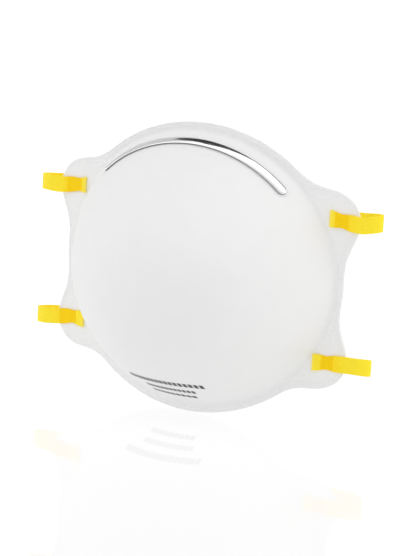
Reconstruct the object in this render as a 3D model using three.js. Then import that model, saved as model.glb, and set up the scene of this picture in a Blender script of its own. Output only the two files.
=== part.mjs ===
// Disposable dust mask: a moulded four-layer cup with a welded rim, a nose clip and two head straps.
// Millimetres. The front of the cup faces -Y, the wearer's face is at +Y and +Z is up. The origin is the
// middle of the rim's plane, on its front face.

import * as THREE from "three";
import { ParametricGeometry } from "three/addons/geometries/ParametricGeometry.js";

// Cup, measured on its front face at the crease where the dome meets the flat rim.
const cupHalfWidth = 65;
const cupHalfHeight = 58.4;
const cupCentreZ = -2;
const domeDepth = 47;
const domeFullness = 2.45; // power of the dome's profile: more is a flatter front and a steeper flank
const mouthDrop = 4; // the furthest point forward lies this far below the cup's centre

// Rim: a flat welded band around the crease, bent back at the cheeks, with four strap tabs.
const rimWidth = 3.8;
const cheekSweep = 3.2; // how far the rim lies back, sweepSpan out from the middle
const noseSweep = -0.85; // and how far at the crown and the chin
const sweepSpan = 60;
// A tab is a circle that stands out past the rim. Its blend is how gently the two run together.
const upperTab = { height: 26.5, standOut: 4.65, radius: 9.6, blend: 17 };
const lowerTab = { height: -33.6, standOut: 3.1, radius: 10.4, blend: 15 };

// Layers, from the front to the face. The rim is welded, so they are pressed thinner there.
const coverThickness = 0.5;
const filterThickness = 0.7;
const shellThickness = 0.9;
const liningThickness = 0.4;
const layerGap = 0.1;
const rimPress = 0.5;

// Nose clip on the top flank, on a film of adhesive.
const clipLength = 97;
const clipWidth = 4.4;
const clipThickness = 0.7;
const clipRise = 8.7; // from the crease to the clip's middle line, up the flank
const adhesiveLength = 88;
const adhesiveWidth = 3.2;
const adhesiveThickness = 0.2;
const filmGap = 0.15;

// Foam seal under the nose, inside the cup, on double-sided tape.
const foamLength = 84;
const foamWidth = 13;
const foamThickness = 5;
const foamRise = 9.5;
const tapeWidth = 9;
const tapeThickness = 0.25;
const insideGap = 0.35;

// Straps: one flat elastic band each. Its ends are welded on the front of the tabs, and it runs outward,
// folds round and passes behind the cup.
const strapWidth = 7;
const strapThickness = 0.9;
const strapGap = 0.3;
// On each side, how far in from the tab's edge its loose end is, and how far out its fold is.
const upperStrap = {
  height: 25.7,
  left: { inward: 12.8, outward: 8.4 },
  right: { inward: 14.3, outward: 12.2 },
};
const lowerStrap = {
  height: -34.2,
  left: { inward: 14.3, outward: 9.7 },
  right: { inward: 14.8, outward: 13.4 },
};
const foldDepth = 8; // from the front leg to the rear leg, at the fold
const bandDepth = 26; // from the rim's plane to the middle of the strap, behind the cup
// The strap's way round the fold: its share of how far out the fold is, and of the fold's depth.
const foldRoute = [[0.62, 0.05], [1, 0.5], [0.55, 1]];
// Its way behind the cup: its share of how far out the tab is, and of the way back to the band.
const rearRoute = [[0.74, 0.65], [0.5, 0.87], [0.25, 0.97]];

// How finely the solids are cut into flat faces.
const meridians = 48;
const domeStations = [0, 0.3, 0.55, 0.76, 0.9, 1];
const rimStations = [1.35, 2];
const stripSteps = 20;
const roundEndSteps = 4;

const cupThickness = coverThickness + filterThickness + shellThickness + liningThickness + 3 * layerGap;
const rimHalfWidth = cupHalfWidth + rimWidth;
const rimHalfHeight = cupHalfHeight + rimWidth;

// ---------------------------------------------------------------- the cup's front surface

// The whole cup lies on a shallow saddle, which is also the rim's own surface.
const saddle = (x, z) => (cheekSweep * x * x + noseSweep * z * z) / (sweepSpan * sweepSpan);

function creaseRadius(angle) {
  return 1 / Math.hypot(Math.cos(angle) / cupHalfWidth, Math.sin(angle) / cupHalfHeight);
}

function smoothMin(a, b, blend) {
  const share = Math.max(blend - Math.abs(a - b), 0) / blend;
  return Math.min(a, b) - (share * share * blend) / 4;
}

// How far a point lies outside the rim's outline: an ellipse joined to a circle for each tab.
function outsideRim(x, z) {
  const side = Math.abs(x);
  let out = (Math.hypot(side / rimHalfWidth, (z - cupCentreZ) / rimHalfHeight) - 1) * rimHalfHeight;
  for (const tab of [upperTab, lowerTab]) {
    const tabX = rimHalfWidth + tab.standOut - tab.radius;
    out = smoothMin(out, Math.hypot(side - tabX, z - tab.height) - tab.radius, tab.blend);
  }
  return out;
}

// The place where a rising function passes through zero, between two numbers.
function crossing(inside, outside, out) {
  while (outside - inside > 1e-6) {
    const middle = (inside + outside) / 2;
    if (out(middle) < 0) inside = middle;
    else outside = middle;
  }
  return inside;
}

const farOut = 2 * (rimHalfWidth + rimHalfHeight);
const rimRadius = (angle) =>
  crossing(creaseRadius(angle), farOut, (radius) =>
    outsideRim(radius * Math.cos(angle), cupCentreZ + radius * Math.sin(angle)),
  );

// A point of the front surface. Station 0 is the front of the dome, 1 is the crease, 2 is the rim's edge.
function frontSurface(angle, station) {
  const crease = creaseRadius(angle);
  const onDome = Math.min(station, 1);
  const radius = crease * onDome + (rimRadius(angle) - crease) * Math.max(station - 1, 0);
  const x = radius * Math.cos(angle);
  const z = cupCentreZ + radius * Math.sin(angle) - mouthDrop * (1 - onDome);
  return new THREE.Vector3(x, saddle(x, z) - domeDepth * (1 - onDome ** domeFullness), z);
}

// The outward direction there, towards the front.
function frontNormal(angle, station) {
  const step = 1e-3;
  if (station < step) return new THREE.Vector3(0, -1, 0);
  const around = frontSurface(angle + step, station).sub(frontSurface(angle - step, station));
  const outward = frontSurface(angle, station + step).sub(frontSurface(angle, station - step));
  return outward.cross(around).normalize();
}

const liftedPoint = (angle, station, lift) =>
  frontSurface(angle, station).addScaledVector(frontNormal(angle, station), lift);

// ---------------------------------------------------------------- layers of the cup

class RimEdge extends THREE.Curve {
  getPoint(t) {
    return frontSurface(-2 * Math.PI * t, 2);
  }
}
const rimEdge = new RimEdge();

// One layer, between two depths below the front surface. Its meridians are evenly spaced on the rim's edge.
function layerGeometry(frontDepth, backDepth) {
  const stations = [...domeStations, ...rimStations];
  const last = 2 * stations.length - 1;
  const place = (u, v, target) => {
    const row = Math.round(v * last);
    const isFront = row < stations.length;
    const station = stations[isFront ? row : last - row];
    const press = station > 1 ? rimPress : 1;
    const angle = -2 * Math.PI * rimEdge.getUtoTmapping(Math.round(u * meridians) / meridians);
    const gaps = layerGap * (1 - press) * layersInFront(frontDepth);
    const depth = (isFront ? frontDepth : backDepth) * press + gaps;
    target.copy(liftedPoint(angle, station, -depth));
  };
  return new ParametricGeometry(place, meridians, last);
}

// Pressing leaves the gaps between the layers as wide as they are in the dome.
const layersInFront = (depth) => layerDepths.findIndex((front) => Math.abs(front - depth) < layerGap / 2);

const layerThicknesses = [coverThickness, filterThickness, shellThickness, liningThickness];
const layerDepths = layerThicknesses.map((_, i) =>
  layerThicknesses.slice(0, i).reduce((depth, thickness) => depth + thickness + layerGap, 0),
);

// ---------------------------------------------------------------- strips over the nose

// The line around the crown, from one side of the cup to the other, at one height up the flank.
class FlankLine extends THREE.Curve {
  constructor(rise) {
    super();
    this.rise = rise;
  }
  getPoint(t) {
    return flankPoint(Math.PI * t, this.rise, 0);
  }
}

function flankPoint(angle, rise, lift) {
  const flankLength = Math.hypot(creaseRadius(angle), domeDepth * domeFullness);
  return liftedPoint(angle, 1 - rise / flankLength, lift);
}

// A strip with half-round ends that follows the flank. The section is a ring of [across, through] shares.
function noseStripGeometry({ length, width, rise, lift, thickness, section }) {
  const line = new FlankLine(rise);
  const ends = [];
  for (let i = 0; i <= roundEndSteps; i++) {
    const turn = (i / roundEndSteps) * (Math.PI / 2);
    ends.push({ at: length / 2 - (width / 2) * (1 - Math.sin(turn)), half: (width / 2) * Math.cos(turn) });
  }
  const rows = [];
  for (const end of ends) rows.unshift({ at: -end.at, half: end.half });
  const straight = length - width;
  for (let i = 1; i < stripSteps; i++) {
    rows.push({ at: straight * (i / stripSteps - 0.5), half: width / 2 });
  }
  rows.push(...ends);
  const place = (u, v, target) => {
    const row = rows[Math.round(u * (rows.length - 1))];
    const [across, through] = section[Math.round(v * section.length) % section.length];
    const angle = Math.PI * line.getUtoTmapping(0.5 + row.at / line.getLength());
    target.copy(flankPoint(angle, rise + across * row.half, lift + through * thickness));
  };
  return new ParametricGeometry(place, rows.length - 1, section.length);
}

const flatSection = [[-1, 0], [-1, 1], [1, 1], [1, 0]];
const foamSection = [[1, 0], [1, -0.5], [0.75, -1], [-0.75, -1], [-1, -0.5], [-1, 0]];

// ---------------------------------------------------------------- straps

// The strap's route seen from above, from its end on the wearer's left (+X), round behind, to the other.
function strapRoute(strap) {
  const tip = crossing(0, farOut, (x) => outsideRim(x, strap.height));
  const onTab = (x) => saddle(x, strap.height) - strapGap - strapThickness / 2;
  const leaving = onTab(tip);
  const behind = bandDepth - leaving;
  const half = (side, { inward, outward }) =>
    [
      [tip - inward, onTab(tip - inward)],
      [tip - inward / 2, onTab(tip - inward / 2)],
      [tip + 1, leaving],
      ...foldRoute.map(([out, back]) => [tip + out * outward, leaving + back * foldDepth]),
      [tip - 5, leaving + 1.2 * foldDepth],
      ...rearRoute.map(([out, back]) => [tip * out, leaving + back * behind]),
    ].map(([x, y]) => new THREE.Vector2(side * x, y));
  const middle = new THREE.Vector2(0, bandDepth);
  return new THREE.SplineCurve([...half(1, strap.left), middle, ...half(-1, strap.right).reverse()]);
}

const weldKnots = 2; // the strap's welded end stops at this knot of its route
const legKnots = 7; // and its leg, with the fold, at this one

// A stretch of strap between two knots of its route, its ends drawn back for the gap.
function strapGeometry(route, firstKnot, lastKnot, height) {
  const knots = route.points.length - 1;
  const isFree = (knot) => knot === 0 || knot === knots;
  const drawnBack = (knot, way) => {
    if (isFree(knot)) return knot / knots;
    const step = 1e-3;
    const speed = route.getPoint(knot / knots).distanceTo(route.getPoint(knot / knots + step)) / step;
    return knot / knots + (way * strapGap) / 2 / speed;
  };
  const from = drawnBack(firstKnot, 1);
  const to = drawnBack(lastKnot, -1);
  const steps = 3 * (lastKnot - firstKnot);
  const outer = [];
  const inner = [];
  for (let i = 0; i <= steps; i++) {
    const t = from + ((to - from) * i) / steps;
    const point = route.getPoint(t);
    const along = route.getTangent(t);
    const across = new THREE.Vector2(along.y, -along.x).multiplyScalar(strapThickness / 2);
    outer.push(point.clone().add(across));
    inner.unshift(point.clone().sub(across));
  }
  const geometry = new THREE.ExtrudeGeometry(new THREE.Shape([...outer, ...inner]), {
    depth: strapWidth,
    bevelEnabled: false,
  });
  return geometry.translate(0, 0, height - strapWidth / 2);
}

// ---------------------------------------------------------------- finishes and assembly

const finish = (name, color, roughness, metalness = 0) =>
  new THREE.MeshStandardMaterial({ name, color, roughness, metalness });

const coverWeb = finish("cover_web", 0xeceef1, 0.85);
const filterWeb = finish("filter_web", 0xf6f7f9, 0.9);
const mouldedShell = finish("moulded_shell", 0xf1f1ee, 0.9);
const liningWeb = finish("lining_web", 0xf3f3f1, 0.85);
const aluminium = finish("aluminium", 0xc9ccd0, 0.28, 1);
const adhesive = finish("hot_melt_adhesive", 0xeae6d6, 0.5);
const foam = finish("soft_foam", 0xe9e8e3, 0.95);
const tape = finish("mounting_tape", 0xf4f4f0, 0.6);
const elastic = finish("yellow_elastic", 0xf7d62c, 0.7);
const weldedElastic = finish("welded_elastic", 0xf0b91f, 0.6);

const mask = new THREE.Group();

function add(parent, name, geometry, material) {
  const mesh = new THREE.Mesh(geometry, material);
  mesh.name = name;
  parent.add(mesh);
}

const cup = new THREE.Group();
["outer_cover", "filter_layer", "support_shell", "inner_lining"].forEach((name, i) => {
  const material = [coverWeb, filterWeb, mouldedShell, liningWeb][i];
  add(cup, name, layerGeometry(layerDepths[i], layerDepths[i] + layerThicknesses[i]), material);
});
mask.add(cup);

const adhesiveStrip = {
  length: adhesiveLength,
  width: adhesiveWidth,
  rise: clipRise,
  lift: filmGap,
  thickness: adhesiveThickness,
  section: flatSection,
};
const clipStrip = {
  length: clipLength,
  width: clipWidth,
  rise: clipRise,
  lift: adhesiveThickness + 2 * filmGap,
  thickness: clipThickness,
  section: flatSection,
};
add(mask, "clip_adhesive", noseStripGeometry(adhesiveStrip), adhesive);
add(mask, "nose_clip", noseStripGeometry(clipStrip), aluminium);

const tapeStrip = {
  length: foamLength - foamWidth + tapeWidth,
  width: tapeWidth,
  rise: foamRise,
  lift: -(cupThickness + insideGap + tapeThickness),
  thickness: tapeThickness,
  section: flatSection,
};
const foamStrip = {
  length: foamLength,
  width: foamWidth,
  rise: foamRise,
  lift: tapeStrip.lift - insideGap,
  thickness: foamThickness,
  section: foamSection,
};
add(mask, "foam_tape", noseStripGeometry(tapeStrip), tape);
add(mask, "nose_foam", noseStripGeometry(foamStrip), foam);

for (const [name, strap] of [
  ["upper_strap", upperStrap],
  ["lower_strap", lowerStrap],
]) {
  const route = strapRoute(strap);
  const end = route.points.length - 1;
  const pieces = new THREE.Group();
  const piece = (part, first, last, material) =>
    add(pieces, `${name}_${part}`, strapGeometry(route, first, last, strap.height), material);
  piece("left_weld", 0, weldKnots, weldedElastic);
  piece("left_leg", weldKnots, legKnots, elastic);
  piece("band", legKnots, end - legKnots, elastic);
  piece("right_leg", end - legKnots, end - weldKnots, elastic);
  piece("right_weld", end - weldKnots, end, weldedElastic);
  mask.add(pieces);
}

export default mask;
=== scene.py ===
# Disposable dust mask: a moulded four-layer cup with a welded rim, a nose clip and two head straps.
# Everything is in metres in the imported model's frame: the front of the cup faces -Y, +Z is up, and the
# origin is the middle of the rim's plane.
import math

import bpy
import numpy as np
from mathutils import Matrix, Vector


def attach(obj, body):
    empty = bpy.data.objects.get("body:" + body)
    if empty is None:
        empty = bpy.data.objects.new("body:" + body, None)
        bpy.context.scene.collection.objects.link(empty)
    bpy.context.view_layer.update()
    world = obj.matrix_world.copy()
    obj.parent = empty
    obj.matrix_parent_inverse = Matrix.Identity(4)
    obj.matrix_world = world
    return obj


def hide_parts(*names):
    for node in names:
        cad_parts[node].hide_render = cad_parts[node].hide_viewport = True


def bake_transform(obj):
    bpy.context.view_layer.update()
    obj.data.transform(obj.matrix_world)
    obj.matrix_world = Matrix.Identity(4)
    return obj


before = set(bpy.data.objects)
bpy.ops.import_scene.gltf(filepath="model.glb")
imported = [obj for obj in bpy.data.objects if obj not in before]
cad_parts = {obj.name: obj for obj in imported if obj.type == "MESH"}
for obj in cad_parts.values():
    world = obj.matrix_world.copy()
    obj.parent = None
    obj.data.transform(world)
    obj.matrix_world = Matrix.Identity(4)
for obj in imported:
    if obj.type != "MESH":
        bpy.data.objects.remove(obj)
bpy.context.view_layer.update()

# ---------------------------------------------------------------- camera, floor and light
# The mask stands on its chin and leans back a little, so the floor is tilted against the mask's own
# frame. The camera looks at the wearer's left front from slightly above, with a long lens.

mm = 0.001
camera_azimuth = math.radians(30.8)
camera_height = math.radians(9.8)
camera_roll = math.radians(3.4)
camera_distance = 0.9
camera_aside, camera_down = 5.3 * mm, 6.4 * mm
lean = math.radians(1)

towards_camera = Vector((
    math.sin(camera_azimuth) * math.cos(camera_height),
    -math.cos(camera_azimuth) * math.cos(camera_height),
    math.sin(camera_height),
))
level_right = Vector((math.cos(camera_azimuth), math.sin(camera_azimuth), 0))
level_up = towards_camera.cross(level_right)
picture_right = level_right * math.cos(camera_roll) + level_up * math.sin(camera_roll)
picture_up = level_up * math.cos(camera_roll) - level_right * math.sin(camera_roll)

camera = bpy.data.objects.new("camera", bpy.data.cameras.new("camera"))
camera.data.lens = 136.9
camera.data.sensor_width = 36
turn = Matrix((picture_right, picture_up, towards_camera)).transposed().to_4x4()
place = towards_camera * camera_distance + picture_right * camera_aside - picture_up * camera_down
camera.matrix_world = Matrix.Translation(place) @ turn
bpy.context.collection.objects.link(camera)
bpy.context.scene.camera = camera
bpy.context.scene.view_settings.view_transform = "Standard"


def new_material(name):
    """A material with its Principled shader, and the two functions that add and join its nodes."""
    material = bpy.data.materials.new(name)
    material.use_nodes = True
    tree = material.node_tree
    shader = tree.nodes["Principled BSDF"]

    def node(kind, **values):
        made = tree.nodes.new("ShaderNode" + kind)
        for key, value in values.items():
            if hasattr(made, key):
                setattr(made, key, value)
            else:
                made.inputs[key.replace("_", " ")].default_value = value
        return made

    return material, shader, node, tree.links.new


floor_up = Vector((0, -math.sin(lean), math.cos(lean)))
floor_right = Vector((1, 0, 0))
floor_back = floor_up.cross(floor_right)
floor_drop = 64.35 * mm
floor_reach = 12
corners = [(-1, -1), (1, -1), (1, 1), (-1, 1)]
floor_mesh = bpy.data.meshes.new("floor")
floor_mesh.from_pydata(
    [(floor_right * x + floor_back * y) * floor_reach - floor_up * floor_drop for x, y in corners],
    [], [(0, 1, 2, 3)],
)
floor = bpy.data.objects.new("floor", floor_mesh)
bpy.context.collection.objects.link(floor)
floor_finish, shader, node, join = new_material("floor_paint")
shader.inputs["Base Color"].default_value = (0.12, 0.12, 0.12, 1)
shader.inputs["Roughness"].default_value = 0.025
shader.inputs["IOR"].default_value = 1.16
shader.inputs["Emission Color"].default_value = (1, 1, 1, 1)
shader.inputs["Emission Strength"].default_value = 0.785
floor_mesh.materials.append(floor_finish)

# The studio is white all round, brightest at the sides and overhead, dimmer behind and dimmest in front.
dimmest = Vector((0.3, -0.92, 0.26)).normalized()
brightest_level = 1.62
levels_towards_dimmest = ((0, 0.68), (0.3, 1), (0.58, 1), (1, 0.34))
world = bpy.data.worlds.new("studio")
world.use_nodes = True
bpy.context.scene.world = world
tree = world.node_tree
direction = tree.nodes.new("ShaderNodeTexCoord")
facing = tree.nodes.new("ShaderNodeVectorMath")
facing.operation = "DOT_PRODUCT"
facing.inputs[1].default_value = dimmest
tree.links.new(direction.outputs["Generated"], facing.inputs[0])
towards_dimmest = tree.nodes.new("ShaderNodeMapRange")
towards_dimmest.inputs["From Min"].default_value = -1
tree.links.new(facing.outputs["Value"], towards_dimmest.inputs["Value"])
ramp = tree.nodes.new("ShaderNodeValToRGB")
while len(ramp.color_ramp.elements) < len(levels_towards_dimmest):
    ramp.color_ramp.elements.new(0.5)
for stop, (position, level) in zip(ramp.color_ramp.elements, levels_towards_dimmest):
    stop.position = position
    stop.color = (level, level, level, 1)
tree.links.new(towards_dimmest.outputs["Result"], ramp.inputs["Fac"])
tree.links.new(ramp.outputs["Color"], tree.nodes["Background"].inputs["Color"])
tree.nodes["Background"].inputs["Strength"].default_value = brightest_level

# Two black cards above and behind the mask give the bright nose clip a dark edge, and a grey one on the
# wearer's right keeps the far half of it dull. Each is given by its direction, its half width and half
# height, how far it is spun in its own plane, and its tone.
card_distance = 0.8
for name, towards, half_wide, half_tall, spin, tone in (
    ("black_card", (-0.36, 0.34, 0.87), 0.25, 0.25, 45, 0.02),
    ("black_strip", (0.16, 0.54, 0.83), 0.42, 0.105, 0, 0.02),
    ("grey_card", (-0.80, 0.22, 0.56), 0.32, 0.44, 0, 0.72),
):
    outward = Vector(towards).normalized()
    across = (Vector((1, 0, 0)) - outward * outward.x).normalized()
    card_turn = Matrix((across, outward.cross(across), outward)).transposed().to_4x4()
    card_mesh = bpy.data.meshes.new(name)
    card_mesh.from_pydata([(half_wide * x, half_tall * y, 0) for x, y in corners], [], [(0, 1, 2, 3)])
    card = bpy.data.objects.new(name, card_mesh)
    card_spin = Matrix.Rotation(math.radians(spin), 4, "Z")
    card.matrix_world = Matrix.Translation(outward * card_distance) @ card_turn @ card_spin
    card.visible_camera = False
    bpy.context.collection.objects.link(card)
    card_finish, shader, node, join = new_material(name)
    shader.inputs["Base Color"].default_value = (tone, tone, tone, 1)
    shader.inputs["Roughness"].default_value = 0.9
    card_mesh.materials.append(card_finish)

# ---------------------------------------------------------------- outer cover
# The front of the cup: a white polyester non-woven, heat moulded to the dome. At the rim it is pressed
# and welded to the layers behind it, which leaves two ridges and two rows of small dents along its edge.

cup_half_width = 65 * mm
cup_half_height = 58.4 * mm
cup_centre = -2 * mm
dome_depth = 47 * mm
dome_fullness = 2.45
mouth_drop = 4 * mm
crease_blend = 1.1 * mm
hand_made_waver = 0.12 * mm
rim_width = 3.8 * mm
cheek_sweep, nose_sweep, sweep_span = 3.2 * mm, -0.85 * mm, 60 * mm
upper_tab = dict(height=26.5 * mm, stand_out=4.65 * mm, radius=9.6 * mm, blend=17 * mm)
lower_tab = dict(height=-33.6 * mm, stand_out=3.1 * mm, radius=10.4 * mm, blend=15 * mm)
rim_half_width = cup_half_width + rim_width
rim_half_height = cup_half_height + rim_width
cover_thickness = 0.5 * mm
rim_press = 0.5
press_from, press_span = 0.21 * mm, 1.4 * mm
relief_from, relief_span = 0.16 * mm, 0.8 * mm


def soft_step(value):
    """0 below 0, 1 above 1 and a smooth slope between them."""
    value = np.clip(value, 0, 1)
    return value * value * (3 - 2 * value)


def smooth_min(a, b, blend):
    """The smaller of two values, rounded where they cross."""
    overlap = np.maximum(blend - np.abs(a - b), 0) / blend
    return np.minimum(a, b) - overlap * overlap * blend / 4


def saddle(x, z):
    """How far the rim's surface is swept back at the cheeks and forward at the nose and chin."""
    return (cheek_sweep * x * x + nose_sweep * z * z) / sweep_span**2


def crease_radius(angle):
    """The distance from the cup's middle to the crease between dome and rim."""
    return 1 / np.hypot(np.cos(angle) / cup_half_width, np.sin(angle) / cup_half_height)


def outside_rim(x, z):
    """How far a point lies outside the cut edge: an ellipse joined to a circle for each strap tab."""
    side = np.abs(x)
    out = (np.hypot(side / rim_half_width, (z - cup_centre) / rim_half_height) - 1) * rim_half_height
    for tab in (upper_tab, lower_tab):
        tab_x = rim_half_width + tab["stand_out"] - tab["radius"]
        circle = np.hypot(side - tab_x, z - tab["height"]) - tab["radius"]
        out = smooth_min(out, circle, tab["blend"])
    return out


def rim_radius(angle):
    """The distance from the cup's middle to the cut edge, found by halving."""
    inside = crease_radius(angle)
    outside = np.full_like(inside, 2 * rim_half_width)
    for _ in range(40):
        middle = (inside + outside) / 2
        out = outside_rim(middle * np.cos(angle), cup_centre + middle * np.sin(angle))
        inside = np.where(out < 0, middle, inside)
        outside = np.where(out < 0, outside, middle)
    return inside


def front_point(angle, radius):
    """A point of the cup's front surface, from the angle round the cup and the distance from its middle."""
    outward = radius / crease_radius(angle)
    x = radius * np.cos(angle)
    z = cup_centre + radius * np.sin(angle) - mouth_drop * (1 - np.minimum(outward, 1))
    rise = smooth_min(dome_depth * (outward**dome_fullness - 1), 0 * outward, crease_blend)
    dome_wave = np.sin(3 * angle + 1) * np.sin(4 * outward + 2)
    rim_wave = np.sin(5 * angle + 0.6) * soft_step((outward - 1) * 9)
    return np.stack([x, saddle(x, z) + rise + hand_made_waver * (dome_wave + rim_wave), z], -1)


def front_normal(angle, radius):
    """The direction straight out of the front surface."""
    step = 0.05 * mm
    radius = np.maximum(radius, 4 * step)
    around = front_point(angle + step / radius, radius) - front_point(angle - step / radius, radius)
    outward = front_point(angle, radius + step) - front_point(angle, radius - step)
    normal = np.cross(outward, around)
    return normal / np.linalg.norm(normal, axis=-1, keepdims=True)


def lifted(angle, radius, lift):
    """A point this far in front of the cup's front surface, or behind it if the lift is negative."""
    return front_point(angle, radius) + front_normal(angle, radius) * np.asarray(lift)[..., None]


def even_angles(count):
    """Angles round the cup whose points on the cut edge are evenly spaced, and each one's way along it."""
    angle = np.linspace(0, 2 * math.pi, 2881)
    edge = front_point(angle, rim_radius(angle))
    way = np.concatenate([[0], np.cumsum(np.linalg.norm(np.diff(edge, axis=0), axis=1))])
    wanted = np.linspace(0, way[-1], count, endpoint=False)
    return np.interp(wanted, way, angle), wanted


def skin_mesh(name, rings, start_cap, end_cap):
    """A closed mesh through rings of points. A cap closes the first or last ring in a point or a face."""
    rows, count = rings.shape[:2]
    points = rings.reshape(-1, 3)
    index = np.arange(rows * count).reshape(rows, count)
    near, far = index[:-1], index[1:]
    turned = lambda ring: np.roll(ring, -1, axis=-1)
    faces = np.stack([near, turned(near), turned(far), far], -1).reshape(-1, 4).tolist()
    points = points.tolist()
    for ring, cap in ((index[0], start_cap), (index[-1][::-1], end_cap)):
        if cap == "face":
            faces.append(ring[::-1].tolist())
        elif cap == "point":
            points.append(np.mean([points[i] for i in ring], axis=0).tolist())
            centre = len(points) - 1
            faces += [[centre, b, a] for a, b in zip(ring.tolist(), np.roll(ring, -1).tolist())]
    mesh = bpy.data.meshes.new(name)
    mesh.from_pydata(points, [], faces)
    mesh.polygons.foreach_set("use_smooth", [True] * len(mesh.polygons))
    mesh.update()
    piece = bpy.data.objects.new(name, mesh)
    bpy.context.collection.objects.link(piece)
    return piece


# The weld's mottle, its two rows of dents and two ridges, each at its distance in from the cut edge, and
# the groove, at its distance out from the crease.
mottle_height = 0.07 * mm
mottle_wide, mottle_tall = 0.55 * mm, 0.6 * mm
mottle_bend_wide, mottle_bend_tall = 1.1 * mm, 0.9 * mm
dent_rows = (dict(inset=1.15 * mm, shift=0), dict(inset=2.25 * mm, shift=0.5))
dent_depth, dent_half_width, dent_pitch = 0.2 * mm, 0.32 * mm, 2.1 * mm
ridge_insets = (3.15 * mm, 0.45 * mm)
ridge_height, ridge_half_width = 0.1 * mm, 0.28 * mm
groove_place, groove_depth, groove_half_width = 0.9 * mm, 0.22 * mm, 0.6 * mm


def weld_relief(point, way, beyond_crease):
    """How far the rim stands out: a mottle, dents and ridges, and a groove just outside the crease."""
    x, z = point[..., 0], point[..., 2]
    inset = -outside_rim(x, z)
    bent_x = x / mottle_wide + 1.7 * np.sin(z / mottle_bend_tall)
    bent_z = z / mottle_tall + 1.5 * np.sin(x / mottle_bend_wide)
    relief = mottle_height * np.sin(bent_x) * np.sin(bent_z)
    for row in dent_rows:
        across = soft_step(1.6 - np.abs(inset - row["inset"]) / dent_half_width)
        dash = np.cos(2 * math.pi * (way / dent_pitch + row["shift"]))
        relief -= dent_depth * across * soft_step(1.4 * dash + 0.45)
    for ridge_inset in ridge_insets:
        relief += ridge_height * np.exp(-(((inset - ridge_inset) / ridge_half_width) ** 2))
    groove = np.exp(-(((beyond_crease - groove_place) / groove_half_width) ** 2))
    return relief - groove_depth * groove


def cup_layer(name, front_depth, back_depth, around, dome_rings, rim_rings, front_relief=0, back_relief=0):
    """One layer of the cup, between two depths behind the front surface, pressed thinner at the rim."""
    angle, way = even_angles(around)
    crease, edge = crease_radius(angle), rim_radius(angle)
    dome_share = 1 - (1 - np.linspace(0.02, 1, dome_rings)) ** 1.35
    rim_share = np.linspace(0, 1, rim_rings + 1)[1:]
    radius = np.concatenate([
        crease * dome_share[:, None],
        crease + (edge - crease) * rim_share[:, None],
    ])
    angle = np.broadcast_to(angle, radius.shape)
    way = np.broadcast_to(way, radius.shape)
    on_rim = soft_step((radius - crease - press_from) / press_span)
    press = 1 - (1 - rim_press) * on_rim
    relief = weld_relief(front_point(angle, radius), way, radius - crease)
    relief *= soft_step((radius - crease - relief_from) / relief_span)
    front = lifted(angle, radius, -front_depth * press + front_relief * relief)
    back = lifted(angle, radius, -back_depth * press - back_relief * relief)
    layer = skin_mesh(name, np.concatenate([front, back[::-1]]), "point", "point")
    pressed = layer.data.attributes.new("pressed", "FLOAT", "POINT")
    pressed.data.foreach_set("value", np.concatenate([on_rim.ravel(), on_rim[::-1].ravel(), [0, 0]]))
    return layer


def felt_material(name, colour, fibre_scale, depth, roughness, rim_painted_through_light=0.0):
    """Felted white fibres: fine crossed strands in the bump, and a faint cloudiness in the colour. The thin
    pressed rim lets light through, and its colour can be painted a little brighter to stand in for that
    light: painted light."""
    material, shader, node, join = new_material(name)
    place = node("TexCoord")
    strands = []
    for turn_by in (0.4, 1.5, 2.6):
        mapping = node("Mapping")
        mapping.inputs["Rotation"].default_value = (turn_by, turn_by * 0.7, turn_by * 1.3)
        mapping.inputs["Scale"].default_value = (fibre_scale, fibre_scale * 0.12, fibre_scale)
        join(place.outputs["Object"], mapping.inputs["Vector"])
        strand = node("TexNoise", Scale=1.0, Detail=3.0, Roughness=0.6, Distortion=0.9)
        join(mapping.outputs["Vector"], strand.inputs["Vector"])
        strands.append(strand)
    mixed = node("Math", operation="MAXIMUM")
    join(strands[0].outputs["Fac"], mixed.inputs[0])
    join(strands[1].outputs["Fac"], mixed.inputs[1])
    felt = node("Math", operation="MAXIMUM")
    join(mixed.outputs[0], felt.inputs[0])
    join(strands[2].outputs["Fac"], felt.inputs[1])
    bump = node("Bump", Strength=0.35, Distance=depth)
    join(felt.outputs[0], bump.inputs["Height"])
    join(bump.outputs["Normal"], shader.inputs["Normal"])
    cloud = node("TexNoise", Scale=120.0, Detail=4.0, Roughness=0.55)
    join(place.outputs["Object"], cloud.inputs["Vector"])
    tone = node("ValToRGB")
    tone.color_ramp.elements[0].position = 0.3
    tone.color_ramp.elements[1].position = 0.7
    tone.color_ramp.elements[0].color = (*(c * 0.985 for c in colour), 1)
    tone.color_ramp.elements[1].color = (*colour, 1)
    join(cloud.outputs["Fac"], tone.inputs["Fac"])
    # On the pressed rim the colour is multiplied up: painted light standing in for light shining through
    # the thin rim.
    pressed = node("Attribute", attribute_name="pressed")
    through_light_gain = node("MapRange")
    through_light_gain.inputs["To Min"].default_value = 1
    through_light_gain.inputs["To Max"].default_value = 1 + rim_painted_through_light
    join(pressed.outputs["Fac"], through_light_gain.inputs["Value"])
    lit = node("VectorMath", operation="MULTIPLY")
    join(tone.outputs["Color"], lit.inputs[0])
    join(through_light_gain.outputs["Result"], lit.inputs[1])
    join(lit.outputs["Vector"], shader.inputs["Base Color"])
    shader.inputs["Roughness"].default_value = roughness
    shader.inputs["Specular IOR Level"].default_value = 0.25
    shader.inputs["Sheen Weight"].default_value = 0.15
    shader.inputs["Sheen Roughness"].default_value = 0.5
    return material


cover = cup_layer(
    "cover_web", 0, cover_thickness,
    around=760, dome_rings=64, rim_rings=22, front_relief=1,
)
# The cover's rim colour is painted 3% brighter: painted light standing in for light let through the thin
# pressed rim.
cover.data.materials.append(felt_material(
    "moulded_cover_web", (0.898, 0.898, 0.896),
    fibre_scale=2600, depth=0.06 * mm, roughness=0.9, rim_painted_through_light=0.03,
))
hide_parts("outer_cover")
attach(cover, "root")

# ---------------------------------------------------------------- printed marks
# Three rows of plain dark dashes are pad printed on the cover at the chin. The ink is a film a few
# hundredths of a millimetre thick that follows the moulded surface.

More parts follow.
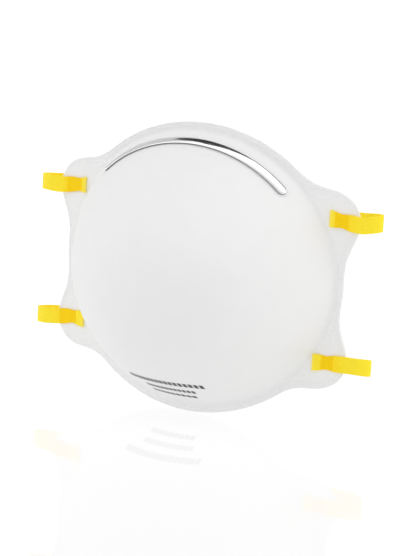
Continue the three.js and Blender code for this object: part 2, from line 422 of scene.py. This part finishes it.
ink_lift = 0.03 * mm
ink_rows = (
    dict(height=-48.5 * mm, first=-19 * mm, last=18 * mm, tall=1.9 * mm, dash=1.6 * mm),
    dict(height=-52.3 * mm, first=-12 * mm, last=12 * mm, tall=1.5 * mm, dash=1.4 * mm),
    dict(height=-55.5 * mm, first=-12 * mm, last=10 * mm, tall=1.3 * mm, dash=1.9 * mm),
)
dash_gap = 0.6 * mm
points_long, points_tall = 9, 5


def on_cover(x, z):
    """The angle and the distance from the cup's middle whose front point has this x and z."""
    drop = np.zeros_like(x)
    for _ in range(20):
        radius = np.hypot(x, z + drop - cup_centre)
        angle = np.arctan2(z + drop - cup_centre, x)
        drop = mouth_drop * (1 - np.minimum(radius / crease_radius(angle), 1))
    return angle, radius


dashes = []
for row in ink_rows:
    count = round((row["last"] - row["first"] + dash_gap) / (row["dash"] + dash_gap))
    pitch = (row["last"] - row["first"] + dash_gap) / count
    for i in range(count):
        left = row["first"] + i * pitch
        x, z = np.meshgrid(
            np.linspace(left, left + pitch - dash_gap, points_long),
            row["height"] + np.linspace(-0.5, 0.5, points_tall) * row["tall"], indexing="ij",
        )
        dashes.append(lifted(*on_cover(x, z), np.full(x.shape, ink_lift)))
points = np.concatenate([dash.reshape(-1, 3) for dash in dashes])
dash_points = points_long * points_tall
faces = []
for i in range(len(dashes)):
    index = (np.arange(dash_points) + dash_points * i).reshape(points_long, points_tall)
    quads = np.stack([index[:-1, :-1], index[1:, :-1], index[1:, 1:], index[:-1, 1:]], -1)
    faces += quads.reshape(-1, 4).tolist()
ink_mesh = bpy.data.meshes.new("printed_marks")
ink_mesh.from_pydata(points.tolist(), [], faces)
ink_mesh.update()
marks = bpy.data.objects.new("printed_marks", ink_mesh)
bpy.context.collection.objects.link(marks)
ink_finish, shader, node, join = new_material("dark_ink")
shader.inputs["Roughness"].default_value = 0.55
place = node("TexCoord")
blotch = node("TexNoise", Scale=1500.0, Detail=3.0)
join(place.outputs["Object"], blotch.inputs["Vector"])
tone = node("ValToRGB")
tone.color_ramp.elements[0].position = 0.42
tone.color_ramp.elements[1].position = 0.72
tone.color_ramp.elements[0].color = (0.028, 0.028, 0.032, 1)
tone.color_ramp.elements[1].color = (0.16, 0.16, 0.17, 1)
join(blotch.outputs["Fac"], tone.inputs["Fac"])
join(tone.outputs["Color"], shader.inputs["Base Color"])
ink_mesh.materials.append(ink_finish)
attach(marks, "root")

# ---------------------------------------------------------------- filter and support shell
# Behind the cover lie the melt-blown filter web and the stiff needle-felt shell that holds the dome's
# shape. Only their cut edges can be seen, pressed together at the rim.

layer_gap = 0.03 * mm
filter_thickness = 0.7 * mm
shell_thickness = 0.9 * mm
filter_front = cover_thickness + layer_gap
shell_front = filter_front + filter_thickness + layer_gap

filter_web = cup_layer(
    "filter_web", filter_front, filter_front + filter_thickness,
    around=380, dome_rings=36, rim_rings=6,
)
filter_web.data.materials.append(felt_material(
    "melt_blown_web", (0.88, 0.885, 0.89), fibre_scale=3400, depth=0.03 * mm, roughness=0.9,
))
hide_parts("filter_layer")
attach(filter_web, "root")

shell = cup_layer(
    "moulded_shell", shell_front, shell_front + shell_thickness,
    around=380, dome_rings=36, rim_rings=6,
)
shell.data.materials.append(felt_material(
    "needle_felt", (0.85, 0.85, 0.835), fibre_scale=2000, depth=0.08 * mm, roughness=0.95,
))
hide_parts("support_shell")
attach(shell, "root")

# ---------------------------------------------------------------- inner lining
# The face side of the cup: a soft, smooth spunbonded web. It is bonded in a fine grid of points, and the
# rim's weld shows on it as it does in front.

lining_thickness = 0.4 * mm
lining_front = shell_front + shell_thickness + layer_gap
cup_thickness = lining_front + lining_thickness

lining = cup_layer(
    "lining_web", lining_front, cup_thickness,
    around=760, dome_rings=56, rim_rings=22, back_relief=0.8,
)


def spunbond_material(name, colour):
    """A thin bonded web: fine random fibres with a small diamond grid of pressed bond points."""
    material = felt_material(name, colour, fibre_scale=2300, depth=0.04 * mm, roughness=0.85)
    tree = material.node_tree
    place = tree.nodes["Texture Coordinate"]
    grid = tree.nodes.new("ShaderNodeTexVoronoi")
    grid.inputs["Scale"].default_value = 900
    grid.inputs["Randomness"].default_value = 0.12
    tree.links.new(place.outputs["Object"], grid.inputs["Vector"])
    dent = tree.nodes.new("ShaderNodeMapRange")
    dent.inputs["From Min"].default_value = 0.18
    dent.inputs["From Max"].default_value = 0.34
    tree.links.new(grid.outputs["Distance"], dent.inputs["Value"])
    bond = tree.nodes.new("ShaderNodeBump")
    bond.inputs["Strength"].default_value = 0.3
    bond.inputs["Distance"].default_value = 0.05 * mm
    tree.links.new(dent.outputs["Result"], bond.inputs["Height"])
    tree.links.new(tree.nodes["Bump"].outputs["Normal"], bond.inputs["Normal"])
    tree.links.new(bond.outputs["Normal"], tree.nodes["Principled BSDF"].inputs["Normal"])
    return material


lining.data.materials.append(spunbond_material("spunbonded_lining", (0.86, 0.865, 0.865)))
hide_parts("inner_lining")
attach(lining, "root")

# ---------------------------------------------------------------- clip adhesive and nose clip
# A strip of bright rolled aluminium with half-round ends and eased edges, bent over the nose and stuck
# to the top flank with a slightly narrower film of hot melt.

clip_length = 97 * mm
clip_width = 4.4 * mm
clip_thickness = 0.7 * mm
clip_rise = 8.7 * mm
clip_ease, clip_crown = 0.07 * mm, 0.3 * mm
adhesive_length = 93 * mm
adhesive_width = 3.9 * mm
adhesive_thickness = 0.22 * mm
adhesive_ease, adhesive_waver = 0.04 * mm, 0.1 * mm
film_gap = 0.01 * mm


def flank_radius(angle, rise):
    """The distance from the cup's middle of a point this far up the flank from the crease."""
    crease = crease_radius(angle)
    return crease * (1 - rise / np.hypot(crease, dome_depth * dome_fullness))


def flank_strip(name, length, width, rise, section, steps=150, waver=0):
    """A strip with half-round ends over the nose. Section lists [share across, lift off the surface]."""
    angle = np.linspace(0, math.pi, 721)
    line = front_point(angle, flank_radius(angle, rise))
    way = np.concatenate([[0], np.cumsum(np.linalg.norm(np.diff(line, axis=0), axis=1))])
    turn = np.linspace(0.12, math.pi / 2, 9)
    end_at = length / 2 - width / 2 * (1 - np.cos(turn))
    end_half = width / 2 * np.sin(turn)
    middle = np.linspace(-1, 1, steps)[1:-1] * (length - width) / 2
    at = np.concatenate([-end_at, middle, end_at[::-1]])
    half = np.concatenate([end_half, np.full(len(middle), width / 2), end_half[::-1]])
    here = np.interp(way[-1] / 2 + at, way, angle)[:, None]
    across, lift = np.array(section).T
    up = rise + across[None] * half[:, None] + waver * np.sin(at * 70)[:, None]
    here = np.broadcast_to(here, up.shape)
    rings = lifted(here, flank_radius(here, up), np.broadcast_to(lift, up.shape))
    return skin_mesh(name, rings, "face", "face")


def eased_section(bottom, top, ease, crown=0.0):
    """A flat strip's section with rounded top corners and a slightly crowned top."""
    points = [(-1, bottom), (-1, top - 2.2 * ease), (-0.985, top - ease), (-0.95, top - 0.3 * ease)]
    points += [(x, top + crown * (1 - x * x)) for x in (-0.88, -0.6, -0.3, 0)]
    mirrored = [(-x, y) for x, y in points[:-1]][::-1]
    return points + mirrored


adhesive_film = flank_strip(
    "hot_melt_film", adhesive_length, adhesive_width, clip_rise,
    eased_section(film_gap, adhesive_thickness, adhesive_ease), waver=adhesive_waver,
)
adhesive_finish, shader, node, join = new_material("clear_hot_melt")
shader.inputs["Base Color"].default_value = (0.82, 0.8, 0.72, 1)
shader.inputs["Roughness"].default_value = 0.35
place = node("TexCoord")
lumps = node("TexNoise", Scale=700.0, Detail=2.0)
join(place.outputs["Object"], lumps.inputs["Vector"])
bump = node("Bump", Strength=0.4, Distance=0.1 * mm)
join(lumps.outputs["Fac"], bump.inputs["Height"])
join(bump.outputs["Normal"], shader.inputs["Normal"])
adhesive_film.data.materials.append(adhesive_finish)
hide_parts("clip_adhesive")
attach(adhesive_film, "root")

clip_bottom = adhesive_thickness + film_gap
clip_section = eased_section(clip_bottom, clip_bottom + clip_thickness, clip_ease, clip_crown)
clip = flank_strip("aluminium_clip", clip_length, clip_width, clip_rise, clip_section)
clip_finish, shader, node, join = new_material("rolled_aluminium")
shader.inputs["Base Color"].default_value = (0.88, 0.885, 0.89, 1)
shader.inputs["Metallic"].default_value = 1
place = node("TexCoord")
rolled = node("Mapping")
rolled.inputs["Scale"].default_value = (60, 4000, 4000)
join(place.outputs["Object"], rolled.inputs["Vector"])
lines = node("TexNoise", Scale=1.0, Detail=2.0)
join(rolled.outputs["Vector"], lines.inputs["Vector"])
smudge = node("MapRange")
smudge.inputs["To Min"].default_value = 0.1
smudge.inputs["To Max"].default_value = 0.22
join(lines.outputs["Fac"], smudge.inputs["Value"])
join(smudge.outputs["Result"], shader.inputs["Roughness"])
bump = node("Bump", Strength=0.12, Distance=0.02 * mm)
join(lines.outputs["Fac"], bump.inputs["Height"])
join(bump.outputs["Normal"], shader.inputs["Normal"])
clip.data.materials.append(clip_finish)

# The strip is sheared to width, so its sides and ends are dull. Their dark grey colour is painted shade and
# painted reflection: it stands in for the contact shadow and dark reflections that outline the clip's
# edges.
edge_painted_shade_finish, shader, node, join = new_material("sheared_edge_painted_shade")
shader.inputs["Metallic"].default_value = 1
shader.inputs["Roughness"].default_value = 0.5
place = node("TexCoord")
edge_shade_mottle = node("TexNoise", Scale=2500.0, Detail=2.0)
join(place.outputs["Object"], edge_shade_mottle.inputs["Vector"])
tone = node("ValToRGB")
tone.color_ramp.elements[0].color = (0.16, 0.165, 0.17, 1)
tone.color_ramp.elements[1].color = (0.34, 0.345, 0.35, 1)
join(edge_shade_mottle.outputs["Fac"], tone.inputs["Fac"])
join(tone.outputs["Color"], shader.inputs["Base Color"])
clip.data.materials.append(edge_painted_shade_finish)
section_points = len(clip_section)
ring_faces = len(clip.data.polygons) - 2
for face in clip.data.polygons:
    around_section = face.index % section_points
    if face.index >= ring_faces or around_section in (0, section_points - 2):
        face.material_index = 1
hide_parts("nose_clip")
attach(clip, "root")

# ---------------------------------------------------------------- foam tape and nose foam
# Inside the cup, under the nose, a strip of soft open-cell foam is stuck to the lining with double-sided
# tape. The foam is die cut, so its faces are flat and its edges are crisp but soft.

foam_length = 84 * mm
foam_width = 13 * mm
foam_thickness = 5 * mm
foam_rise = 9.5 * mm
foam_ease, tape_ease = 0.7 * mm, 0.02 * mm
tape_width = 9 * mm
tape_thickness = 0.25 * mm
inside_gap = 0.06 * mm

tape_top = -(cup_thickness + inside_gap)
foam_top = tape_top - tape_thickness - inside_gap


def inside_section(top, thickness, ease):
    """An eased section turned over, so that it hangs down from its top inside the cup."""
    outline = eased_section(0, thickness, ease)
    return [(-x, top - y) for x, y in outline]


tape = flank_strip(
    "mounting_tape", foam_length - foam_width + tape_width, tape_width, foam_rise,
    inside_section(tape_top, tape_thickness, tape_ease),
)
tape_finish, shader, node, join = new_material("tape_paper")
shader.inputs["Roughness"].default_value = 0.5
place = node("TexCoord")
tissue = node("TexNoise", Scale=900.0, Detail=3.0)
join(place.outputs["Object"], tissue.inputs["Vector"])
tone = node("ValToRGB")
tone.color_ramp.elements[0].color = (0.84, 0.84, 0.8, 1)
tone.color_ramp.elements[1].color = (0.88, 0.88, 0.86, 1)
join(tissue.outputs["Fac"], tone.inputs["Fac"])
join(tone.outputs["Color"], shader.inputs["Base Color"])
tape.data.materials.append(tape_finish)
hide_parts("foam_tape")
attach(tape, "root")

foam = flank_strip(
    "foam_seal", foam_length, foam_width, foam_rise,
    inside_section(foam_top, foam_thickness, foam_ease), steps=200,
)
foam_finish, shader, node, join = new_material("open_cell_foam")
shader.inputs["Roughness"].default_value = 0.95
place = node("TexCoord")
cells = node("TexVoronoi", Scale=2200.0)
join(place.outputs["Object"], cells.inputs["Vector"])
# The colour darkens towards each cell's middle, where the bump sets the surface low: painted shade in the
# pits.
tone = node("ValToRGB")
tone.color_ramp.elements[0].color = (0.6, 0.59, 0.56, 1)
tone.color_ramp.elements[1].color = (0.84, 0.835, 0.81, 1)
tone.color_ramp.elements[1].position = 0.45
join(cells.outputs["Distance"], tone.inputs["Fac"])
join(tone.outputs["Color"], shader.inputs["Base Color"])
bump = node("Bump", Strength=0.5, Distance=0.2 * mm)
join(cells.outputs["Distance"], bump.inputs["Height"])
join(bump.outputs["Normal"], shader.inputs["Normal"])
foam.data.materials.append(foam_finish)
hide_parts("nose_foam")
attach(foam, "root")

# ---------------------------------------------------------------- head straps
# Two bands of yellow braided elastic, eight rubber cords wide. Each end is welded on the front of a tab
# under a small knurled tool, and the band runs outward, folds round and passes behind the cup.

strap_width = 7 * mm
strap_thickness = 0.9 * mm
strap_gap = 0.1 * mm
strap_cords = 8
fold_depth = 8 * mm
band_depth = 26 * mm
weld_thickness = 0.45 * mm
weld_edge, weld_sink = 0.5 * mm, 0.9
knurl_height, knurl_pitch, knurls_across = 0.09 * mm, 0.85 * mm, 4.1
stitch_height, stitch_pitch = 0.03 * mm, 1.1 * mm
pinch_depth, pinch_reach = 0.17, 2.6 * mm
loose_reach, loose_spread = 0.7 * mm, 0.04
drawn_flat_reach, drawn_flat_colour = 2.6 * mm, 0.6
# On each side: how far in from the tab's edge the loose end is and how far out the fold is; where the
# weld starts and stops and where the strap is pinched narrowest, from the loose end; and how far the soft
# strap has risen off its level at the loose end, the weld, the tab's edge, before, at and after the fold,
# and behind the tab. All in millimetres.
upper_strap = dict(
    height=25.7 * mm,
    left=dict(
        inward=12.8, outward=8.4, weld=(2.0, 8.5), pinch=5.3,
        lift=(0.9, 0.2, -0.55, 0, 0.8, 0.7, 0),
    ),
    right=dict(
        inward=14.3, outward=12.2, weld=(2.0, 11.0), pinch=4.1,
        lift=(0.65, 0.05, -0.9, -0.7, -0.75, -0.6, -0.3),
    ),
)
lower_strap = dict(
    height=-34.2 * mm,
    left=dict(
        inward=14.3, outward=9.7, weld=(3.6, 9.7), pinch=6.2,
        lift=(0.1, 0.6, 0.75, 0.9, 0.4, -0.9, -1.3),
    ),
    right=dict(
        inward=14.8, outward=13.4, weld=(4.0, 14.0), pinch=6.3,
        lift=(0.85, 1.0, -0.15, -0.9, -1.2, -0.7, -0.3),
    ),
)
# The route's shape: how far past the tab's edge the strap starts to fold and how far inside it the fold is
# over; the fold's knots as shares of how far it reaches out and back; and the rear band's as shares of the
# tab's distance from the middle and of the way back.
fold_from, fold_over, fold_over_depth = 1 * mm, 5 * mm, 1.2
fold_route = ((0.62, 0.05), (1, 0.5), (0.55, 1))
rear_route = ((0.74, 0.65), (0.5, 0.87), (0.25, 0.97))


def tab_edge(height):
    """How far out the cut edge is at this height."""
    inside, outside = 0.0, 2 * rim_half_width
    for _ in range(40):
        middle = (inside + outside) / 2
        inside, outside = (middle, outside) if outside_rim(middle, height) < 0 else (inside, middle)
    return inside


def strap_knots(strap):
    """The strap's route, from its end on the wearer's left (+X), round behind: x, y and height."""
    tip = tab_edge(strap["height"])

    def on_tab(x):
        return saddle(x, strap["height"]) - strap_gap - strap_thickness / 2

    leaving = on_tab(tip)
    behind = band_depth - leaving

    def half(sign, side):
        end = tip - side["inward"] * mm
        welded = (end + tip) / 2
        fold = side["outward"] * mm
        level = strap["height"]
        lift = [level + rise * mm for rise in side["lift"]]
        settling = (lift[6], level, level)
        knots = [
            (end, on_tab(end), lift[0]),
            (welded, on_tab(welded), lift[1]),
            (tip + fold_from, leaving, lift[2]),
        ]
        knots += [
            (tip + out * fold, leaving + back * fold_depth, z)
            for (out, back), z in zip(fold_route, lift[3:6])
        ]
        knots.append((tip - fold_over, leaving + fold_over_depth * fold_depth, lift[6]))
        knots += [
            (tip * out, leaving + behind * back, (z + level) / 2)
            for (out, back), z in zip(rear_route, settling)
        ]
        return [(sign * x, y, z) for x, y, z in knots]

    middle = (0, band_depth, strap["height"])
    return np.array(half(1, strap["left"]) + [middle] + half(-1, strap["right"])[::-1])


def smooth_route(knots, per_knot=60):
    """A smooth curve through the knots, as close points."""
    padded = np.concatenate([knots[:1], knots, knots[-1:]])
    t = np.linspace(0, 1, per_knot, endpoint=False)[:, None]
    stretches = []
    for before, start, stop, after in zip(padded, padded[1:], padded[2:], padded[3:]):
        leave, arrive = (stop - before) / 2, (after - start) / 2
        stretches.append(
            (2 * start - 2 * stop + leave + arrive) * t**3
            + (3 * stop - 3 * start - 2 * leave - arrive) * t**2
            + leave * t + start
        )
    return np.concatenate(stretches + [knots[-1:]])


def braid_section(points_per_cord=6):
    """Once round the strap: each point's share across, its share of the thickness, which is least in the
    grooves between the cords, and the face that it is on."""
    count = strap_cords * points_per_cord
    across = (np.arange(count) + 0.5) / count * 2 - 1
    in_cord = ((across + 1) / 2 * strap_cords) % 1 * 2 - 1
    rib = 0.74 + 0.26 * np.sqrt(1 - in_cord**2)
    return np.concatenate([across, across[::-1]]), np.concatenate([rib, rib]), np.repeat([1, -1], count)


# The rear band has no weld, pinch or loose end, so for it they all lie a metre before the strap begins.
far_off = -1.0


def strap_piece(name, route, way, steps, weld=(far_off, far_off), pinch=far_off, loose_end=far_off):
    """A stretch of the braid along the route, between the first and last of the steps. Each point carries
    its place along and across the strap and how deep its colour is, which is most in the weld."""
    x, y, height = (np.interp(steps, way, route[:, i]) for i in range(3))
    slope = np.gradient(np.stack([x, y], -1), steps, axis=0)
    slope /= np.linalg.norm(slope, axis=1, keepdims=True)
    outward = np.stack([slope[:, 1], -slope[:, 0]], -1)
    across, rib, side = braid_section()
    turns = 2 * math.pi * steps[:, None]
    pressed = soft_step((steps - weld[0]) / weld_edge) * soft_step((weld[1] - steps) / weld_edge)
    pressed = pressed[:, None]
    from_end = np.abs(steps - loose_end)
    loose = np.exp(-from_end / loose_reach)[:, None]
    stitch = stitch_height * np.sin(turns / stitch_pitch + 1.6 * strap_cords * across[None])
    half = strap_thickness / 2 * rib[None] + stitch
    knurl = np.cos(turns / knurl_pitch) * np.cos(2 * math.pi * across[None] * knurls_across)
    flat = weld_thickness / 2 + knurl_height * knurl * (side[None] > 0)
    half = half * (1 - pressed) + flat * pressed
    sink = pressed * (weld_thickness - strap_thickness) / 2 * weld_sink
    through = half * side[None] + sink
    pinched = np.exp(-(((steps - pinch) / pinch_reach) ** 2))[:, None]
    wide = strap_width / 2 * (1 - pinch_depth * pinched + loose_spread * loose)
    rings = np.empty((len(steps), len(across), 3))
    rings[..., 0] = x[:, None] + outward[:, :1] * through
    rings[..., 1] = y[:, None] + outward[:, 1:] * through
    rings[..., 2] = height[:, None] + across[None] * wide
    piece = skin_mesh(name, rings, "face", "face")
    place = np.empty((len(steps), len(across), 3))
    place[..., 0] = steps[:, None]
    place[..., 1] = across[None] * strap_width / 2
    past_weld = from_end - np.abs(np.array(weld) - loose_end).max()
    drawn_flat = drawn_flat_colour * np.exp(-past_weld / drawn_flat_reach) * (past_weld > 0)
    place[..., 2] = np.maximum(pressed, drawn_flat[:, None])
    layout = piece.data.attributes.new("strap_place", "FLOAT_VECTOR", "POINT")
    layout.data.foreach_set("vector", place.ravel())
    frayed = piece.data.attributes.new("frayed", "FLOAT", "POINT")
    frayed.data.foreach_set("value", np.broadcast_to(loose, half.shape).ravel())
    return piece


def elastic_material():
    """Yellow yarn over rubber cords: a herringbone of fine stitches. The colour is deeper in the weld, and
    darker and more orange in the grooves between the cords, where it is painted shade.
    """
    material, shader, node, join = new_material("yellow_braid")
    place = node("Attribute", attribute_name="strap_place")
    parts = node("SeparateXYZ")
    join(place.outputs["Vector"], parts.inputs["Vector"])
    cord = node("Math", operation="MULTIPLY")
    cord.inputs[1].default_value = strap_cords / strap_width
    join(parts.outputs["Y"], cord.inputs[0])
    ping = node("Math", operation="PINGPONG")
    ping.inputs[1].default_value = 0.5
    join(cord.outputs[0], ping.inputs[0])
    slant = node("Math", operation="MULTIPLY_ADD")
    slant.inputs[1].default_value = 1 / (0.62 * mm)
    join(parts.outputs["X"], slant.inputs[0])
    join(ping.outputs[0], slant.inputs[2])
    wave = node("Math", operation="MULTIPLY")
    wave.inputs[1].default_value = 2 * math.pi
    join(slant.outputs[0], wave.inputs[0])
    yarn = node("Math", operation="SINE")
    join(wave.outputs[0], yarn.inputs[0])
    bump = node("Bump", Strength=0.5, Distance=0.08 * mm)
    join(yarn.outputs[0], bump.inputs["Height"])
    join(bump.outputs["Normal"], shader.inputs["Normal"])
    # The grooves between the cords take the darker, more orange end of the ramp: painted shade in the
    # grooves.
    groove = node("MapRange")
    groove.inputs["From Max"].default_value = 0.22
    join(ping.outputs[0], groove.inputs["Value"])
    fuzz = node("TexNoise", Scale=1600.0, Detail=3.0)
    join(place.outputs["Vector"], fuzz.inputs["Vector"])
    mottled = node("MapRange")
    mottled.inputs["From Min"].default_value = 0.3
    mottled.inputs["From Max"].default_value = 0.7
    mottled.inputs["To Min"].default_value = 0.82
    join(fuzz.outputs["Fac"], mottled.inputs["Value"])
    shade = node("Math", operation="MULTIPLY")
    join(groove.outputs["Result"], shade.inputs[0])
    join(mottled.outputs["Result"], shade.inputs[1])
    tone = node("ValToRGB")
    tone.color_ramp.elements[0].color = (0.97, 0.72, 0.004, 1)
    tone.color_ramp.elements[1].color = (1.0, 0.84, 0.04, 1)
    tone.color_ramp.elements[1].position = 0.7
    join(shade.outputs[0], tone.inputs["Fac"])
    weld = node("Mix", data_type="RGBA")
    join(parts.outputs["Z"], weld.inputs["Factor"])
    join(tone.outputs["Color"], weld.inputs["A"])
    weld.inputs["B"].default_value = (1.0, 0.68, 0.001, 1)
    fray = node("Attribute", attribute_name="frayed")
    pale = node("Mix", data_type="RGBA")
    join(fray.outputs["Fac"], pale.inputs["Factor"])
    join(weld.outputs["Result"], pale.inputs["A"])
    pale.inputs["B"].default_value = (0.98, 0.84, 0.14, 1)
    join(pale.outputs["Result"], shader.inputs["Base Color"])
    shader.inputs["Roughness"].default_value = 0.6
    shader.inputs["Specular IOR Level"].default_value = 0.12
    # A faint orange glow is painted light: it makes the strap brighter than a plain colour can be.
    shader.inputs["Emission Color"].default_value = (1, 0.55, 0.04, 1)
    shader.inputs["Emission Strength"].default_value = 0.09
    return material


braid = elastic_material()
fine_step, coarse_step = 0.28 * mm, 0.448 * mm
for name, strap in (("upper", upper_strap), ("lower", lower_strap)):
    route = smooth_route(strap_knots(strap))
    way = np.concatenate([[0], np.cumsum(np.linalg.norm(np.diff(route, axis=0), axis=1))])
    folds = dict(left=way[np.argmax(route[:, 0])], right=way[np.argmin(route[:, 0])])
    for side, sign in (("left", 1), ("right", -1)):
        loose_end = 0 if side == "left" else way[-1]
        start, stop = sorted((loose_end, folds[side]))
        weld = sorted(loose_end + sign * w * mm for w in strap[side]["weld"])
        pinch = loose_end + sign * strap[side]["pinch"] * mm
        steps = np.linspace(start, stop, int((stop - start) / fine_step))
        end = strap_piece(f"{name}_{side}_end", route, way, steps, weld, pinch, loose_end)
        end.data.materials.append(braid)
        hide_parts(f"{name}_strap_{side}_weld")
        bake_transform(end)
    between = folds["right"] - folds["left"]
    steps = np.linspace(folds["left"], folds["right"], int(between / coarse_step))
    band = strap_piece(f"{name}_back_band", route, way, steps)
    band.data.materials.append(braid)
    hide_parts(f"{name}_strap_left_leg", f"{name}_strap_band", f"{name}_strap_right_leg")
    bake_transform(band)
